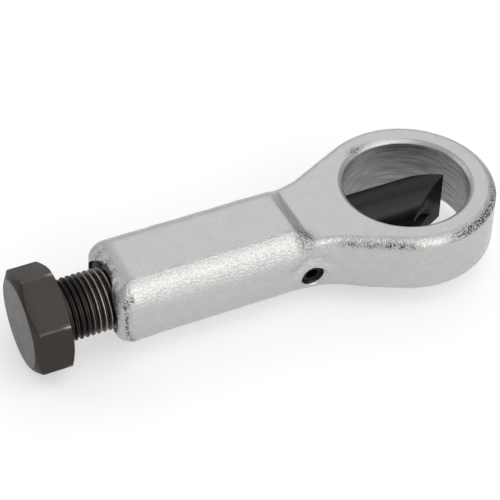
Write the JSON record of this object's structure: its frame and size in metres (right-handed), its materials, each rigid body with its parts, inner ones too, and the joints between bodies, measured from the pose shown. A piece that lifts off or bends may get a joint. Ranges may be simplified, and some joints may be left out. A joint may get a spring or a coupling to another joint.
{
  "type": "nut splitter",
  "caption": "Ring-bodied nut splitter: a forged handle and ring carry a threaded spindle that drives a keyed chisel across the ring to crack a seized nut.",
  "frame": {"origin": "centre of the ring's bore, half way between its faces, on the spindle's axis", "axes": "+X along the spindle from its hexagon head towards the ring, +Z along the ring's bore, guide screw on the -Y side"},
  "size_m": [0.1291, 0.0468, 0.0276],
  "materials": {
    "zinc_plated_forging": "satin zinc plating over a forged skin, ground flats",
    "black_spindle_steel": "oiled black oxide on turned steel",
    "black_tool_steel": "black oxide on ground tool steel",
    "black_screw_steel": "black oxide",
    "bearing_steel": "polished bearing steel"
  },
  "bodies": {
    "frame": {"body": "zinc_plated_forging", "guide_screw": "black_screw_steel"},
    "ram": {"chisel": "black_tool_steel", "thrust_ball": "bearing_steel"},
    "spindle": {"pressure_spindle": "black_spindle_steel"}
  },
  "joints": [
    {"name": "chisel_feed", "type": "slide", "parent": "frame", "child": "ram", "axis": [1, 0, 0], "range_m": [-0.0275, 0.0045]},
    {"name": "spindle_turn", "type": "hinge", "parent": "ram", "child": "spindle", "pos_m": [-0.0957, 0, 0], "axis": [1, 0, 0], "range_deg": [-6600, 1080]}
  ],
  "couplings": [
    {"joint": "spindle_turn", "follows": "chisel_feed", "rad_per_m": 4188.8}
  ]
}
